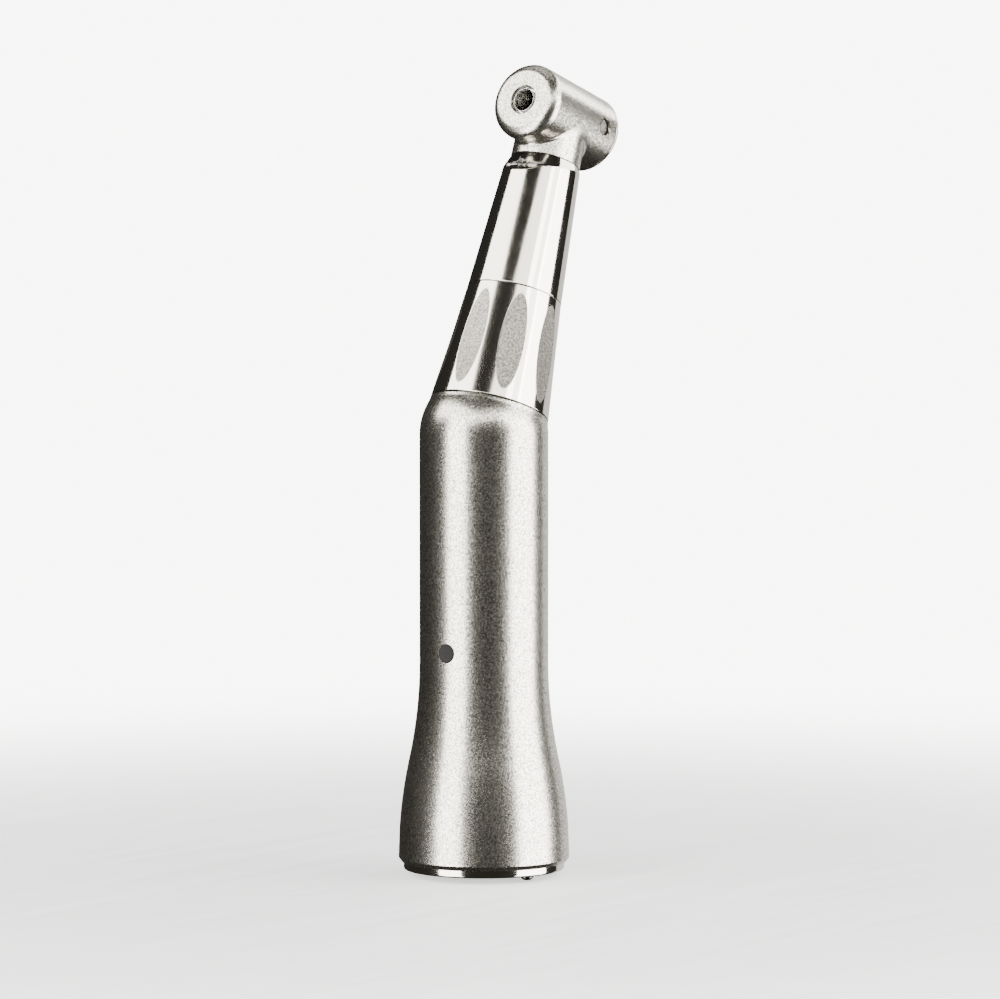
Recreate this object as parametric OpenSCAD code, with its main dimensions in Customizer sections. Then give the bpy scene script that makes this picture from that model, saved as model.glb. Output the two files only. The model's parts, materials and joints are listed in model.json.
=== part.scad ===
// Contra-angle handpiece: a push-button head on a bent, geared neck and handle.
// The origin is the centre of the motor socket's mouth. +Z runs along the rear
// axis from the motor towards the bend, the neck leans towards +X, and the bur
// points towards -X. All sizes are in millimetres.

/* [Handle] */
// Radius of the flared foot
foot_r = 10; // [9.5:0.1:14]
// Radius of the straight barrel
barrel_r = 7.53; // [7.4:0.05:9.1]
// Radius of the bore through the barrel
barrel_bore_r = 6.5; // [6.4:0.05:6.6]
// Height where the flare starts to draw in
flare_start = 1.4; // [1.2:0.1:4]
// Height where the flare meets the barrel
flare_end = 24.5; // [18:0.5:27]
// Height of the bend, where the two shaft axes cross
bend_z = 50.9; // [50:0.1:62]
// Radius of the polished lip under the foot
lip_r = 9.4; // [9.1:0.1:9.5]
// Height of the polished lip
lip_h = 0.9; // [0.6:0.1:1.1]
// Angle between the rear axis and the neck axis
bend_angle = 21; // [15:1:25]

/* [Motor socket] */
// Radius of the bore that the motor nose enters
socket_r = 6; // [5.4:0.05:6]
// Length of that bore
socket_len = 16; // [12:0.5:17]
// Radius of the narrower tip bore behind it
tip_bore_r = 4.2; // [3.8:0.1:4.8]
// Radius of the locating pin
pin_r = 0.75; // [0.5:0.05:0.9]
// How far the locating pin stands out of the rear face
pin_out = 0.5; // [0.3:0.1:0.9]

/* [Neck] */
// Distance from the bend to the back edge of the union nut
nut_start = 3.05; // [2.8:0.05:3.5]
// Length of the union nut
nut_len = 14.1; // [13:0.1:17]
// Radius of the union nut at its back edge
nut_r1 = 7.03; // [6.8:0.05:7.3]
// Radius of the union nut at its front edge
nut_r2 = 5.61; // [5.5:0.05:6.2]
// Number of oval grips around the union nut
grip_count = 8; // [6:1:9]
// Length of the polished neck cone
neck_len = 16.75; // [14:0.25:20]
// Radius of the neck cone at its front end
neck_end_r = 4.45; // [4.4:0.05:4.9]
// Radius of the head's collar
collar_r = 4.14; // [4.1:0.02:4.5]

/* [Head] */
// Distance from the end of the neck to the bur axis
head_reach = 5.9; // [5.8:0.1:7]
// How far the bur axis leans back from square to the neck
head_tilt = 4; // [0:1:10]
// Radius of the head
head_r = 4.6; // [4.5:0.05:5.5]
// Distance from the neck axis to the bur face
bur_face = 6.6; // [6.5:0.1:7.5]
// Distance from the neck axis to the cap's seam
cap_seam = 6.75; // [6.7:0.05:8]
// Radius of the hole in the bur face
nose_hole_r = 1.77; // [1.7:0.05:2]
// Radius of the bur bore
bur_r = 1.185; // [1.175:0.005:1.2]
// Travel of the push button
button_travel = 0.5; // [0.3:0.05:0.5]

/* [Gears] */
// Teeth on each gear at the bend
bend_teeth = 16; // [12:1:20]
// Teeth on each gear in the head
head_teeth = 12; // [10:1:14]

/* [Small bearings] */
// Outer radius of a neck or head bearing
sb_r = 3.175; // [3.1:0.025:3.2]
// Bore radius of a neck or head bearing
sb_bore = 1.5875; // [1.55:0.0125:1.6]
// Width of a neck or head bearing
sb_w = 2.38; // [2.2:0.02:2.4]

/* [Large bearings] */
// Outer radius of a rear bearing
lb_r = 4; // [3.8:0.1:4.4]
// Bore radius of a rear bearing
lb_bore = 1.5; // [1.3:0.05:1.6]
// Width of a rear bearing
lb_w = 3; // [2.4:0.1:3.4]

/* [Fits] */
// Radial gap between a turning shaft and its hole
run_gap = 0.05; // [0.03:0.01:0.08]
// Gap between a moving piece and a wall that it doesn't touch
free_gap = 0.1; // [0.08:0.01:0.15]
// Width of the thin seams between the outer pieces
seam = 0.08; // [0.05:0.01:0.12]

/* [Hidden] */
$fn = 96;
EPS = 0.01;

// Neck frame: distances s run from the bend along the neck axis.
nut_end = nut_start + nut_len;
neck_end = nut_end + neck_len;
head_s = neck_end + head_reach;
collar_shift = neck_end_r - collar_r - EPS;   // keeps the collar flush on the cap side

// Handle
counterbore_r = 8.6;
counterbore_end = 5;
foot_chamfer = 0.4;
ring_end = 4.5;
sleeve_foot_r = 7;
sleeve_end = socket_len + 12;
snap_z = 3;
snap_h = 0.5;
snap_groove = 0.5;
oring_z = sleeve_end - 2;
oring_t = 0.36;
dot_z = flare_end + 1.3;
dot_r = 1.1;
dot_depth = 0.35;
pin_angle = -107.5;
pin_pitch_r = lip_r - pin_r - 0.35;
pin_depth = 3;

// Rear shaft
dog_r = 2.8;
dog_z = socket_len + 3;
dog_len = 8;
claw_len = 2.6;
claw_gap = 1.5;
cartridge_z = sleeve_end + 1;
cartridge_shoulder = 2;
bend_gear_back = 2.4;
cartridge_end = bend_z - 3.4;
bearing_a_z = cartridge_z + cartridge_shoulder;
bearing_b_z = cartridge_end - 1.5 - lb_w;
clip_t = 0.7;
tube_y = 5.2;
tube_r = 0.4;
tube_from = sleeve_end - 4;
tube_bend_r = 8;

// Neck
spigot_in_r = 4.6;
spigot_out_r = 5.6;
spigot_end = 8.5;
cavity_r = 5.75;
cavity_end = 1.9;
flange_t = 1.9;                              // clamped on the spigot's end by the nut
flange_r = 5.2;
neck_tube_s = 3.6;
neck_bore_r = 2.2;
front_a_s = neck_tube_s + 0.9;
joint_r = sb_r + 0.3;
joint_depth = 0.3;
front_b_s = neck_end - sb_w - joint_depth;
front_shaft_r = 1.2;
grip_len = nut_len - 2.1;
grip_half_w = 1.5;
neck_ring_s = spigot_end - 1.2;
insert_half_angle = 43;
insert_len = 1.75;
insert_t = 0.85;
taper_len = 1.9;
nozzle_r = 0.17;
nozzle_pitch = 0.75;
channel_r = 0.26;

// Head
face_round = 1.3;
head_bore_r = 3.6;
nose_t = 0.75;
collar_round = 1.6;
collar_top = head_s - 2.4;
head_clear_r = 3.4;
lower_u = -(bur_face - nose_t);
upper_u = 3.3;
cap_plate_t = 0.55;
button_r = 2.9;
button_flange = 0.2;
button_flange_t = 0.3;
button_dome = 0.45;
seat_t = 0.15;
spring_wire = 0.2;
spring_r = 2.4;
spring_turns = 3;
nose_r = 1.4;
side_hole_r = 1;
side_hole_u = 4.3;
side_hole_depth = 0.6;
latch_room = 0.45;
latch_t = 0.6;

// Gears: cone distances from the point where the axes cross
bend_in = 3;
bend_out = 4.2;
head_in = 2.95;
head_out = 3.9;
bend_cone = 90 - bend_angle / 2;
head_cone = 45 + head_tilt / 2;
backlash = 0.05;
flank = 24;

// ---- shared shapes ----

// Points of an arc about [x, y], from angle a0 to a1
function arc(x, y, r, a0, a1, n = 12) =
    [for (i = [0 : n]) let (a = a0 + (a1 - a0) * i / n) [x + r * cos(a), y + r * sin(a)]];

// Places children in the neck's frame: its Z is the neck axis, its zero the bend
module in_neck() {
    translate([0, 0, bend_z]) rotate([0, bend_angle, 0]) children();
}

// Places children in the head's frame: its Z points to the cap, its zero is on the neck axis
module in_head() {
    in_neck() translate([0, 0, head_s]) rotate([0, 90 - head_tilt, 0]) children();
}

// Ring between two radii, from z0 with height h
module ring(r_in, r_out, z0, h) {
    translate([0, 0, z0]) difference() {
        cylinder(r = r_out, h = h);
        translate([0, 0, -EPS]) cylinder(r = r_in, h = h + 2 * EPS);
    }
}

// Round rod from point a to point b
module rod(a, b, r) {
    d = b - a;
    l = norm(d);
    translate(a) rotate([0, acos(d[2] / l), atan2(d[1], d[0])]) cylinder(r = r, h = l, $fn = 32);
}

// ---- ball bearings ----

function ball_r(r_out, r_in) = (r_out - r_in) * 0.315;
function race_r(r_out, r_in) = (r_out + r_in) / 2;

module race_groove(r_out, r_in, w) {
    translate([0, 0, w / 2]) rotate_extrude()
        translate([race_r(r_out, r_in), 0]) circle(r = ball_r(r_out, r_in) + 0.02, $fn = 48);
}

module bearing_outer(r_out, r_in, w) {
    difference() {
        ring(race_r(r_out, r_in) + ball_r(r_out, r_in) * 0.55, r_out, 0, w);
        race_groove(r_out, r_in, w);
    }
}

module bearing_inner(r_out, r_in, w) {
    difference() {
        ring(r_in, race_r(r_out, r_in) - ball_r(r_out, r_in) * 0.55, 0, w);
        race_groove(r_out, r_in, w);
    }
}

module bearing_balls(r_out, r_in, w, count = 7) {
    br = ball_r(r_out, r_in);
    pr = race_r(r_out, r_in);
    pocket = 2 * br + free_gap;
    difference() {
        ring(pr - br * 0.3, pr + br * 0.3, w / 2 - br * 1.45, br * 2.9);
        for (i = [0 : count - 1]) rotate([0, 0, i * 360 / count])
            translate([pr - br, -pocket / 2, (w - pocket) / 2]) cube([2 * br, pocket, pocket]);
    }
    for (i = [0 : count - 1]) rotate([0, 0, i * 360 / count])
        translate([pr, 0, w / 2]) sphere(r = br, $fn = 32);
}

// ---- bevel gears ----
// The shaft axes cross at the origin and the gear lies behind it, towards -Z.

function cone_point(d, cone, up) =
    [d * sin(cone) + up * cos(cone), -d * cos(cone) + up * sin(cone)];

// One tooth: its four sections' corners shrink towards the crossing point
module bevel_tooth(cone, d_in, d_out, teeth) {
    function corners(d) = let (
            m = 2 * d * sin(cone) / teeth,
            half = PI * m / 4 - backlash / 2,
            foot = cone_point(d, cone, -1.25 * m),
            tip = cone_point(d, cone, 0.85 * m),
            wf = half + 1.25 * m * tan(flank) * 0.75,
            wt = half - 0.85 * m * tan(flank))
        [[foot[0], -wf, foot[1]], [foot[0], wf, foot[1]], [tip[0], wt, tip[1]], [tip[0], -wt, tip[1]]];
    polyhedron(points = concat(corners(d_in), corners(d_out)),
        faces = [[0, 1, 2, 3], [7, 6, 5, 4], [4, 5, 1, 0], [5, 6, 2, 1], [6, 7, 3, 2], [7, 4, 0, 3]]);
}

module bevel_gear(cone, d_in, d_out, teeth, back, bore, half_step = false) {
    m_in = 2 * d_in * sin(cone) / teeth;
    m_out = 2 * d_out * sin(cone) / teeth;
    root_in = cone_point(d_in, cone, -1.1 * m_in);
    root_out = cone_point(d_out, cone, -1.1 * m_out);
    rotate_extrude() polygon([[bore, root_in[1]], root_in, root_out,
        [root_out[0], root_out[1] - 0.25], [root_in[0] + 0.1, -back], [bore, -back]]);
    for (i = [0 : teeth - 1]) rotate([0, 0, (i + (half_step ? 0.5 : 0)) * 360 / teeth])
        bevel_tooth(cone, d_in, d_out, teeth);
}

// ---- handle ----

// Outline of the sheath from the foot to the barrel: two equal arcs meet half-way
function flare_points() = let (
        dz = (flare_end - flare_start) / 2,
        dr = (foot_r - barrel_r) / 2,
        r = (dz * dz + dr * dr) / (2 * dr),
        sweep = asin(dz / r))
    concat(arc(foot_r - r, flare_start, r, 0, sweep, 10),
        arc(barrel_r + r, flare_end, r, 180 + sweep, 180, 10));

module dot_place() {
    rotate([0, 0, 180]) translate([barrel_r, 0, dot_z]) rotate([0, 90, 0]) children();
}

module rear_sheath() {
    color("silver") difference() {
        union() {
            rotate_extrude() polygon(concat(
                [[0, lip_h], [foot_r - foot_chamfer, lip_h], [foot_r, flare_start]],
                flare_points(), [[barrel_r, bend_z], [0, bend_z]]));
            translate([0, 0, bend_z]) sphere(r = barrel_r);
            in_neck() cylinder(r1 = barrel_r - 0.04, r2 = nut_r1, h = nut_start - seam / 2);
            in_neck() cylinder(r = spigot_out_r, h = spigot_end);
        }
        translate([0, 0, lip_h - EPS]) cylinder(r = counterbore_r, h = counterbore_end - lip_h + EPS);
        cylinder(r = barrel_bore_r, h = bend_z - bend_gear_back);
        translate([0, 0, bend_z - bend_gear_back - EPS]) cylinder(r = cavity_r, h = bend_gear_back);
        translate([0, 0, bend_z]) sphere(r = cavity_r);
        in_neck() translate([0, 0, -1]) cylinder(r = spigot_in_r, h = spigot_end + 2);
        in_neck() ring(spigot_out_r, barrel_r + 1, nut_start - seam / 2, spigot_end);
        dot_place() translate([0, 0, -dot_depth]) cylinder(r = dot_r, h = 1);
        rotate([0, 0, pin_angle]) translate([pin_pitch_r, 0, 0]) cylinder(r = pin_r, h = pin_depth);
        for (y = [-tube_y, tube_y]) in_neck() translate([0, y, 0])
            cylinder(r = tube_r + EPS, h = cavity_end + 0.5, $fn = 32);
    }
}

module ratio_dot() {
    sag = barrel_r - sqrt(barrel_r * barrel_r - dot_r * dot_r);
    color("dimgray") dot_place() translate([0, 0, -dot_depth])
        cylinder(r = dot_r - 0.02, h = dot_depth - sag);
}

module rear_ring() {
    color("gainsboro") difference() {
        union() {
            rotate_extrude() polygon([[0, 0], [lip_r - 0.25, 0], [lip_r, 0.25], [lip_r, lip_h - 0.05],
                [lip_r - 0.05, lip_h], [0, lip_h]]);
            cylinder(r = counterbore_r, h = ring_end);
        }
        translate([0, 0, -1]) cylinder(r = sleeve_foot_r, h = ring_end + 2);
        rotate([0, 0, pin_angle]) translate([pin_pitch_r, 0, -1]) cylinder(r = pin_r, h = pin_depth + 1);
    }
}

module locating_pin() {
    color("dimgray") rotate([0, 0, pin_angle]) translate([pin_pitch_r, 0, 0]) {
        translate([0, 0, -pin_out + pin_r / 3]) cylinder(r = pin_r, h = pin_depth + pin_out - pin_r / 3);
        intersection() {
            translate([0, 0, -pin_out + pin_r]) sphere(r = pin_r * 1.05);
            translate([0, 0, -pin_out]) cylinder(r = pin_r, h = pin_r);
        }
    }
}

module coupling_sleeve() {
    color("lightgray") difference() {
        union() {
            cylinder(r = sleeve_foot_r, h = ring_end);
            translate([0, 0, ring_end - EPS]) cylinder(r = barrel_bore_r, h = sleeve_end - ring_end + EPS);
        }
        translate([0, 0, -1]) cylinder(r = socket_r, h = socket_len + 1);
        cylinder(r = tip_bore_r, h = sleeve_end + 1);
        translate([0, 0, snap_z]) cylinder(r = socket_r + snap_groove, h = snap_h + seam);
        ring(barrel_bore_r - 2 * oring_t - 0.02, barrel_bore_r + 1, oring_z - oring_t, 2 * oring_t);
        for (y = [-tube_y, tube_y]) translate([0, y, tube_from]) cylinder(r = tube_r, h = 9, $fn = 32);
    }
}

module snap_ring() {
    color("gray") difference() {
        ring(socket_r + 0.03, socket_r + snap_groove - 0.03, snap_z + seam / 2, snap_h);
        translate([0, -1.1, 0]) cube([2 * socket_r, 2.2, 2 * snap_z]);
    }
}

module sleeve_o_ring() {
    color("black") translate([0, 0, oring_z]) rotate_extrude()
        translate([barrel_bore_r - oring_t - 0.01, 0]) circle(r = oring_t - 0.01, $fn = 32);
}

// ---- rear shaft and its bearings ----

module drive_dog() {
    color("darkgray") difference() {
        translate([0, 0, dog_z]) cylinder(r = dog_r, h = dog_len);
        translate([0, 0, dog_z + claw_len]) cylinder(r = lb_bore, h = dog_len);
        translate([-dog_r, -claw_gap / 2, dog_z - 1]) cube([2 * dog_r, claw_gap, claw_len + 1]);
    }
}

module drive_shaft() {
    color("gray") translate([0, 0, dog_z + claw_len])
        cylinder(r = lb_bore, h = bend_z - 1.6 - dog_z - claw_len);
}

module drive_gear() {
    color("goldenrod") translate([0, 0, bend_z])
        bevel_gear(bend_cone, bend_in, bend_out, bend_teeth, bend_gear_back, lb_bore);
}

module bearing_cartridge() {
    color("lightsteelblue") difference() {
        translate([0, 0, cartridge_z]) cylinder(r = barrel_bore_r, h = cartridge_end - cartridge_z);
        translate([0, 0, cartridge_z - 1]) cylinder(r = lb_r - 0.8, h = 5);
        translate([0, 0, bearing_a_z]) cylinder(r = lb_r, h = cartridge_end);
        ring(lb_r - 1, lb_r + 0.4, bearing_b_z + lb_w, clip_t);
        for (y = [-tube_y, tube_y]) translate([0, y, 0]) cylinder(r = tube_r, h = bend_z, $fn = 32);
    }
}

module rear_bearing_a_outer() {
    color("silver") translate([0, 0, bearing_a_z]) bearing_outer(lb_r, lb_bore, lb_w);
}

module rear_bearing_a_balls() {
    color("khaki") translate([0, 0, bearing_a_z]) bearing_balls(lb_r, lb_bore, lb_w);
}

module rear_bearing_a_inner() {
    color("silver") translate([0, 0, bearing_a_z]) bearing_inner(lb_r, lb_bore, lb_w);
}

module rear_bearing_b_outer() {
    color("silver") translate([0, 0, bearing_b_z]) bearing_outer(lb_r, lb_bore, lb_w);
}

module rear_bearing_b_balls() {
    color("khaki") translate([0, 0, bearing_b_z]) bearing_balls(lb_r, lb_bore, lb_w);
}

module rear_bearing_b_inner() {
    color("silver") translate([0, 0, bearing_b_z]) bearing_inner(lb_r, lb_bore, lb_w);
}

module rear_spacer() {
    color("slategray") ring(lb_r - 0.6, lb_r, bearing_a_z + lb_w, bearing_b_z - bearing_a_z - lb_w);
}

module rear_circlip() {
    color("dimgray") difference() {
        ring(lb_r - 0.5, lb_r + 0.37, bearing_b_z + lb_w + 0.02, clip_t - 0.04);
        translate([0, -1, 0]) cube([2 * lb_r, 2, bend_z]);
    }
}

// A spray tube runs up the handle and bends with the neck: a round section of 12 sides
// is carried along a straight, an arc about the inside of the bend, and a straight
module spray_tube(y, r) {
    sides = 12;
    steps = 6;
    lean = tube_bend_r * tan(bend_angle / 2);
    end = cavity_end + 0.4;
    path = concat([[0, tube_from, 0]],
        [for (i = [0 : steps]) let (t = bend_angle * i / steps)
            [tube_bend_r * (1 - cos(t)), bend_z - lean + tube_bend_r * sin(t), t]],
        [[end * sin(bend_angle), bend_z + end * cos(bend_angle), bend_angle]]);
    points = [for (q = path) for (k = [0 : sides - 1]) let (a = k * 360 / sides, u = r * cos(a))
        [q[0] + u * cos(q[2]), y + r * sin(a), q[1] - u * sin(q[2])]];
    last = (len(path) - 1) * sides;
    polyhedron(points = points, faces = concat(
        [[for (k = [0 : sides - 1]) k]],
        [[for (k = [0 : sides - 1]) last + sides - 1 - k]],
        [for (i = [0 : len(path) - 2]) for (k = [0 : sides - 1]) let (n = (k + 1) % sides, o = i * sides)
            [o + k, o + sides + k, o + sides + n, o + n]]));
}

module water_tube() {
    color("skyblue") spray_tube(tube_y, tube_r);
}

module air_tube() {
    color("lightyellow") spray_tube(-tube_y, tube_r);
}

// ---- neck ----

// A large cylinder laid across the cone cuts a shallow scallop with an oval outline
module grip_scallop() {
    mid_r = (nut_r1 + nut_r2) / 2;
    depth = grip_half_w * grip_half_w / (2 * mid_r);
    cutter_r = grip_len * grip_len / (8 * depth);
    translate([mid_r, 0, nut_start + nut_len / 2]) rotate([0, -atan((nut_r1 - nut_r2) / nut_len), 0])
        translate([cutter_r - depth, 0, 0]) rotate([90, 0, 0])
            cylinder(r = cutter_r, h = 4 * grip_half_w, center = true, $fn = 1440);
}

module union_nut() {
    color("white") in_neck() difference() {
        translate([0, 0, nut_start + seam / 2])
            cylinder(r1 = nut_r1, r2 = nut_r2, h = nut_len - seam);
        cylinder(r = spigot_out_r + free_gap, h = spigot_end + flange_t + seam);
        cylinder(r = neck_body_r() + run_gap, h = neck_end);
        for (i = [0 : grip_count - 1]) rotate([0, 0, 180 + i * 360 / grip_count]) grip_scallop();
    }
}

function neck_body_r() = spigot_in_r - run_gap;

// The neck's end: its circle moves over to the collar's, so the bur side is chamfered
module neck_taper() {
    r0 = nut_r2 + (neck_end_r - nut_r2) * (neck_len - taper_len) / neck_len;
    hull() {
        translate([0, 0, neck_end - taper_len - EPS]) cylinder(r = r0, h = EPS, $fn = 120);
        translate([collar_shift, 0, neck_end - seam - EPS]) cylinder(r = collar_r, h = EPS, $fn = 120);
    }
}

// Space in front of the slanted spray face
module spray_face_cut() {
    translate([-(collar_r - collar_shift) - 1.15, 0, neck_end - insert_len / 2 + 0.55])
        rotate([0, 33, 0]) translate([-5, -6, -4]) cube([5, 12, 8]);
}

// Sector on the bur side, where the spray insert sits
module insert_zone(grow) {
    difference() {
        translate([0, 0, neck_end - insert_len - grow]) rotate([0, 0, 180 - insert_half_angle - grow * 12])
            rotate_extrude(angle = 2 * (insert_half_angle + grow * 12))
                translate([neck_end_r - insert_t - grow, 0]) square([3, insert_len + 2 * grow]);
    }
}

module neck_sleeve() {
    r0 = nut_r2 + (neck_end_r - nut_r2) * (neck_len - taper_len) / neck_len;
    color("white") in_neck() difference() {
        union() {
            translate([0, 0, nut_end]) cylinder(r1 = nut_r2, r2 = r0, h = neck_len - taper_len);
            neck_taper();
            translate([0, 0, neck_tube_s]) cylinder(r = neck_body_r(), h = nut_end - neck_tube_s + 1);
            translate([0, 0, spigot_end]) cylinder(r = flange_r, h = flange_t);
        }
        translate([0, 0, neck_tube_s - 1]) cylinder(r = sb_r, h = front_a_s + sb_w - neck_tube_s + 1);
        cylinder(r = neck_bore_r, h = neck_end);
        translate([0, 0, front_b_s]) cylinder(r = sb_r, h = neck_end);
        translate([0, 0, neck_end - joint_depth]) cylinder(r = joint_r, h = 1);
        ring(neck_body_r() - 0.62, neck_body_r() + 1, neck_ring_s - 0.32, 0.64);
        insert_zone(seam / 2);
        for (side = [-1, 1]) rod([0, side * 4.1, neck_tube_s - 1],
            [-3.7, side * nozzle_pitch, neck_end - insert_len + 0.1], channel_r);
    }
}

module neck_o_ring() {
    color("black") in_neck() translate([0, 0, neck_ring_s]) rotate_extrude()
        translate([neck_body_r() - 0.3, 0]) circle(r = 0.31, $fn = 32);
}

module spray_insert() {
    color("gray") in_neck() difference() {
        intersection() {
            neck_taper();
            insert_zone(-seam / 2);
        }
        spray_face_cut();
        for (i = [-1 : 1]) rod([-3.2, i * nozzle_pitch, neck_end - insert_len - 0.2],
            [-5.2, i * nozzle_pitch, neck_end - insert_len + 2.2], nozzle_r);
    }
}

// ---- front shaft ----

module front_gear() {
    color("goldenrod") in_neck() mirror([0, 0, 1])
        bevel_gear(bend_cone, bend_in, bend_out, bend_teeth, bend_gear_back, front_shaft_r, true);
}

module front_shaft() {
    pinion_front = head_s - head_in * cos(head_cone) - 0.4;
    color("gray") in_neck() {
        translate([0, 0, 1.6]) cylinder(r = front_shaft_r, h = pinion_front - 1.6);
        translate([0, 0, front_a_s]) cylinder(r = sb_bore, h = sb_w);
        translate([0, 0, front_b_s]) cylinder(r = sb_bore, h = sb_w);
    }
}

module head_pinion() {
    color("goldenrod") in_neck() translate([0, 0, head_s])
        bevel_gear(head_cone, head_in, head_out, head_teeth, 3.3, front_shaft_r);
}

module front_bearing_a_outer() {
    color("silver") in_neck() translate([0, 0, front_a_s]) bearing_outer(sb_r, sb_bore, sb_w);
}

module front_bearing_a_balls() {
    color("khaki") in_neck() translate([0, 0, front_a_s]) bearing_balls(sb_r, sb_bore, sb_w);
}

module front_bearing_a_inner() {
    color("silver") in_neck() translate([0, 0, front_a_s]) bearing_inner(sb_r, sb_bore, sb_w);
}

module front_bearing_b_outer() {
    color("silver") in_neck() translate([0, 0, front_b_s]) bearing_outer(sb_r, sb_bore, sb_w);
}

module front_bearing_b_balls() {
    color("khaki") in_neck() translate([0, 0, front_b_s]) bearing_balls(sb_r, sb_bore, sb_w);
}

module front_bearing_b_inner() {
    color("silver") in_neck() translate([0, 0, front_b_s]) bearing_inner(sb_r, sb_bore, sb_w);
}

module front_spacer() {
    color("slategray") in_neck()
        ring(front_shaft_r, front_shaft_r + 0.4, front_a_s + sb_w, front_b_s - front_a_s - sb_w);
}

// ---- head ----

module head_housing() {
    color("silver") difference() {
        union() {
            in_head() rotate_extrude() polygon(concat(
                [[0, cap_seam - seam / 2], [0, -bur_face]],
                arc(head_r - face_round, -bur_face + face_round, face_round, -90, 0, 8),
                [[head_r, cap_seam - seam / 2]]));
            in_neck() translate([collar_shift, 0, 0]) rotate_extrude() polygon(concat(
                [[0, neck_end], [collar_r, neck_end]],
                arc(collar_r - collar_round, collar_top - collar_round, collar_round, 0, 90, 8),
                [[0, collar_top]]));
            in_neck() translate([0, 0, neck_end - joint_depth]) cylinder(r = joint_r, h = joint_depth + 0.1);
        }
        in_head() translate([0, 0, lower_u + sb_w]) cylinder(r = head_bore_r, h = 2 * cap_seam);
        in_head() translate([0, 0, lower_u]) cylinder(r = sb_r, h = cap_seam);
        in_head() translate([0, 0, -bur_face - 1]) cylinder(r = nose_hole_r, h = 3);
        in_neck() translate([0, 0, neck_end + 0.2]) cylinder(r = head_clear_r, h = head_reach - 1);
        in_neck() translate([0, 0, neck_end - 1]) cylinder(r = sb_r - 0.2, h = 2);
        in_head() rotate([90, 0, 0]) translate([0, side_hole_u, head_r - side_hole_depth])
            cylinder(r = side_hole_r, h = 2);
    }
}

module spindle() {
    top = upper_u + sb_w;
    color("lightgray") in_head() difference() {
        union() {
            translate([0, 0, lower_u]) cylinder(r = sb_bore, h = top - lower_u);
            translate([0, 0, -bur_face + 0.1]) cylinder(r = nose_r, h = 1);
            translate([0, 0, lower_u + sb_w]) cylinder(r = sb_bore + 0.1, h = 0.4);
        }
        translate([0, 0, -bur_face - 1]) cylinder(r = bur_r, h = bur_face + 1 + top - latch_t - 0.1);
        translate([-sb_bore - 1, -0.7, top - latch_t - 0.1]) cube([2 * sb_bore + 2, 1.4, 2]);
    }
}

module spindle_gear() {
    color("goldenrod") in_head() mirror([0, 0, 1])
        bevel_gear(head_cone, head_in, head_out, head_teeth, upper_u - 0.05, sb_bore, true);
}

module chuck_latch() {
    color("dimgray") in_head() intersection() {
        translate([-sb_bore + 0.1, -0.65, upper_u + sb_w - latch_t - 0.05])
            cube([2 * sb_bore - 0.2 - latch_room, 1.3, latch_t]);
        cylinder(r = sb_bore - 0.05, h = 2 * cap_seam);
        translate([-latch_room, 0, 0]) cylinder(r = sb_bore - 0.05, h = 2 * cap_seam);
    }
}

module lower_bearing_outer() {
    color("silver") in_head() translate([0, 0, lower_u]) bearing_outer(sb_r, sb_bore, sb_w);
}

module lower_bearing_balls() {
    color("khaki") in_head() translate([0, 0, lower_u]) bearing_balls(sb_r, sb_bore, sb_w);
}

module lower_bearing_inner() {
    color("silver") in_head() translate([0, 0, lower_u]) bearing_inner(sb_r, sb_bore, sb_w);
}

module upper_bearing_outer() {
    color("silver") in_head() translate([0, 0, upper_u]) bearing_outer(sb_r, sb_bore, sb_w);
}

module upper_bearing_balls() {
    color("khaki") in_head() translate([0, 0, upper_u]) bearing_balls(sb_r, sb_bore, sb_w);
}

module upper_bearing_inner() {
    color("silver") in_head() translate([0, 0, upper_u]) bearing_inner(sb_r, sb_bore, sb_w);
}

module head_cap() {
    top = cap_seam + cap_plate_t;
    color("gainsboro") in_head() difference() {
        union() {
            rotate_extrude() polygon([[0, cap_seam + seam / 2], [head_r, cap_seam + seam / 2],
                [head_r, top - 0.3], [head_r - 0.35, top], [0, top]]);
            translate([0, 0, upper_u]) cylinder(r = head_bore_r, h = cap_seam + seam - upper_u);
        }
        translate([0, 0, upper_u - 1]) cylinder(r = sb_r, h = cap_seam - upper_u + 1);
        cylinder(r = button_r + free_gap / 2, h = 2 * cap_seam);
    }
}

module spring_seat() {
    color("gray") in_head() ring(2.2, sb_r, upper_u + sb_w, seat_t);
}

// The coil spring under the button, as one closed ring for each turn
module button_spring() {
    from = upper_u + sb_w + seat_t;
    to = cap_seam + cap_plate_t - 0.15;
    step = (to - from - spring_wire) / (spring_turns - 1);
    color("darkgray") in_head() for (i = [0 : spring_turns - 1])
        translate([0, 0, from + spring_wire / 2 + i * step]) rotate_extrude()
            translate([spring_r, 0]) circle(r = spring_wire / 2, $fn = 24);
}

module push_button() {
    top = cap_seam + cap_plate_t;
    low = cap_seam - 0.05 - button_flange_t;
    dome_r = (button_r * button_r + button_dome * button_dome) / (2 * button_dome);
    color("whitesmoke") in_head() difference() {
        union() {
            intersection() {
                translate([0, 0, low]) cylinder(r = button_r, h = 3);
                translate([0, 0, top + button_dome - dome_r]) sphere(r = dome_r, $fn = 180);
            }
            translate([0, 0, low]) cylinder(r = button_r + button_flange, h = button_flange_t);
        }
        ring(0.9, button_r - 0.3, low - 1, top - low + 0.85);
        translate([0, 0, low - 1]) cylinder(r = 2, h = 1.2);
    }
}

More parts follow.
